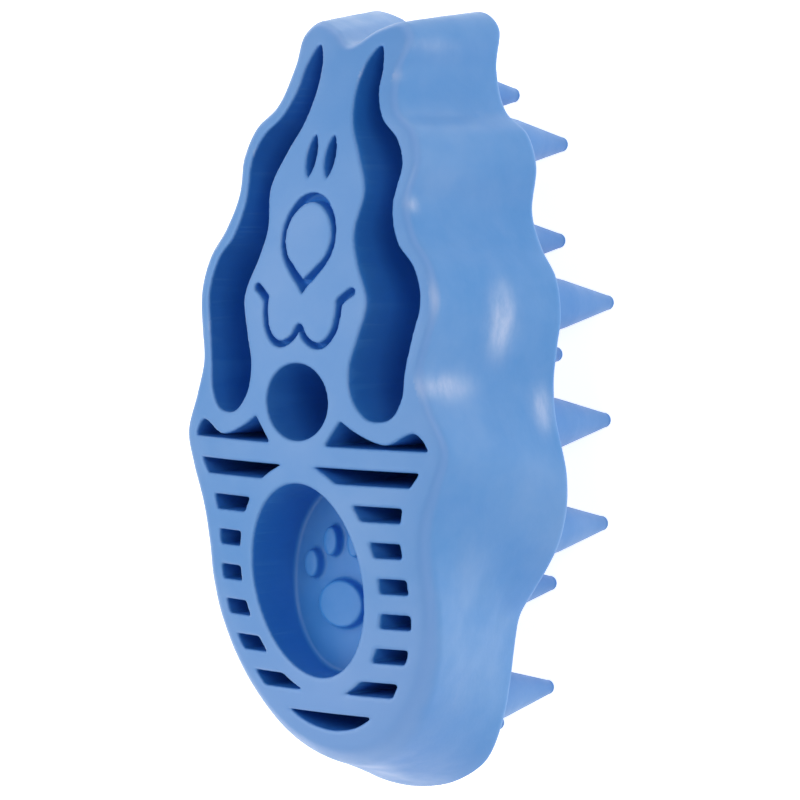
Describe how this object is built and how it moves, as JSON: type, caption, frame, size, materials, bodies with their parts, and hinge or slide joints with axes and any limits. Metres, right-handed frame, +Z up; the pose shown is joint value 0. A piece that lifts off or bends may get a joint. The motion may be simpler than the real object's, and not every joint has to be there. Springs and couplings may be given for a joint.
{
  "type": "grooming brush",
  "caption": "Palm-held one-piece rubber grooming brush: domed scalloped back with pockets cut into it, flared side wall and flexible conical teeth underneath.",
  "frame": {"origin": "middle of the rectangle that the brush covers, in the plane of the tooth tips", "axes": "+Z up out of the domed back, +Y along the brush towards the head end, +X across it"},
  "size_m": [0.057, 0.121, 0.0548],
  "materials": {
    "body_rubber": "moulded semi-gloss light blue rubber",
    "pocket_rubber": "moulded satin blue rubber",
    "tooth_rubber": "moulded semi-gloss light blue rubber"
  },
  "bodies": {
    "root": {"side_wall": "body_rubber", "tooth_plate": "body_rubber", "face_panel": "body_rubber", "cross_bar": "body_rubber", "oval_collar": "body_rubber", "tail_cap": "body_rubber", "paw_badge": "pocket_rubber", "rib_left_1": "body_rubber", "rib_right_1": "body_rubber", "rib_left_2": "body_rubber", "rib_right_2": "body_rubber", "rib_left_3": "body_rubber", "rib_right_3": "body_rubber", "rib_left_4": "body_rubber", "rib_right_4": "body_rubber", "rib_left_5": "body_rubber", "rib_right_5": "body_rubber", "rib_left_6": "body_rubber", "rib_right_6": "body_rubber"},
    "row_01": {"tooth_01_1": "tooth_rubber"},
    "row_02": {"tooth_02_1": "tooth_rubber", "tooth_02_2": "tooth_rubber"},
    "row_03": {"tooth_03_1": "tooth_rubber"},
    "row_04": {"tooth_04_1": "tooth_rubber", "tooth_04_2": "tooth_rubber"},
    "row_05": {"tooth_05_1": "tooth_rubber", "tooth_05_2": "tooth_rubber", "tooth_05_3": "tooth_rubber"},
    "row_06": {"tooth_06_1": "tooth_rubber", "tooth_06_2": "tooth_rubber"},
    "row_07": {"tooth_07_1": "tooth_rubber", "tooth_07_2": "tooth_rubber", "tooth_07_3": "tooth_rubber"},
    "row_08": {"tooth_08_1": "tooth_rubber", "tooth_08_2": "tooth_rubber"},
    "row_09": {"tooth_09_1": "tooth_rubber", "tooth_09_2": "tooth_rubber", "tooth_09_3": "tooth_rubber"},
    "row_10": {"tooth_10_1": "tooth_rubber", "tooth_10_2": "tooth_rubber"},
    "row_11": {"tooth_11_1": "tooth_rubber"},
    "row_12": {"tooth_12_1": "tooth_rubber", "tooth_12_2": "tooth_rubber"},
    "row_13": {"tooth_13_1": "tooth_rubber"}
  },
  "joints": [
    {"name": "row_01_flex", "type": "hinge", "parent": "root", "child": "row_01", "pos_m": [0, 0.0478, 0.0228], "axis": [1, 0, 0], "range_deg": [-20, 20], "stiffness_Nm_per_rad": 0.035},
    {"name": "row_02_flex", "type": "hinge", "parent": "root", "child": "row_02", "pos_m": [0, 0.0402, 0.0228], "axis": [1, 0, 0], "range_deg": [-20, 20], "stiffness_Nm_per_rad": 0.07},
    {"name": "row_03_flex", "type": "hinge", "parent": "root", "child": "row_03", "pos_m": [0, 0.0325, 0.0228], "axis": [1, 0, 0], "range_deg": [-20, 20], "stiffness_Nm_per_rad": 0.035},
    {"name": "row_04_flex", "type": "hinge", "parent": "root", "child": "row_04", "pos_m": [0, 0.025, 0.0228], "axis": [1, 0, 0], "range_deg": [-20, 20], "stiffness_Nm_per_rad": 0.07},
    {"name": "row_05_flex", "type": "hinge", "parent": "root", "child": "row_05", "pos_m": [0, 0.0156, 0.0228], "axis": [1, 0, 0], "range_deg": [-20, 20], "stiffness_Nm_per_rad": 0.105},
    {"name": "row_06_flex", "type": "hinge", "parent": "root", "child": "row_06", "pos_m": [0, 0.007, 0.0228], "axis": [1, 0, 0], "range_deg": [-20, 20], "stiffness_Nm_per_rad": 0.07},
    {"name": "row_07_flex", "type": "hinge", "parent": "root", "child": "row_07", "pos_m": [0, -0.0029, 0.0228], "axis": [1, 0, 0], "range_deg": [-20, 20], "stiffness_Nm_per_rad": 0.105},
    {"name": "row_08_flex", "type": "hinge", "parent": "root", "child": "row_08", "pos_m": [0, -0.011, 0.0228], "axis": [1, 0, 0], "range_deg": [-20, 20], "stiffness_Nm_per_rad": 0.07},
    {"name": "row_09_flex", "type": "hinge", "parent": "root", "child": "row_09", "pos_m": [0, -0.0192, 0.0228], "axis": [1, 0, 0], "range_deg": [-20, 20], "stiffness_Nm_per_rad": 0.105},
    {"name": "row_10_flex", "type": "hinge", "parent": "root", "child": "row_10", "pos_m": [0, -0.0294, 0.0228], "axis": [1, 0, 0], "range_deg": [-20, 20], "stiffness_Nm_per_rad": 0.07},
    {"name": "row_11_flex", "type": "hinge", "parent": "root", "child": "row_11", "pos_m": [0, -0.0375, 0.0228], "axis": [1, 0, 0], "range_deg": [-20, 20], "stiffness_Nm_per_rad": 0.035},
    {"name": "row_12_flex", "type": "hinge", "parent": "root", "child": "row_12", "pos_m": [0, -0.046, 0.0228], "axis": [1, 0, 0], "range_deg": [-20, 20], "stiffness_Nm_per_rad": 0.07},
    {"name": "row_13_flex", "type": "hinge", "parent": "root", "child": "row_13", "pos_m": [0, -0.0526, 0.0228], "axis": [1, 0, 0], "range_deg": [-20, 20], "stiffness_Nm_per_rad": 0.035}
  ]
}
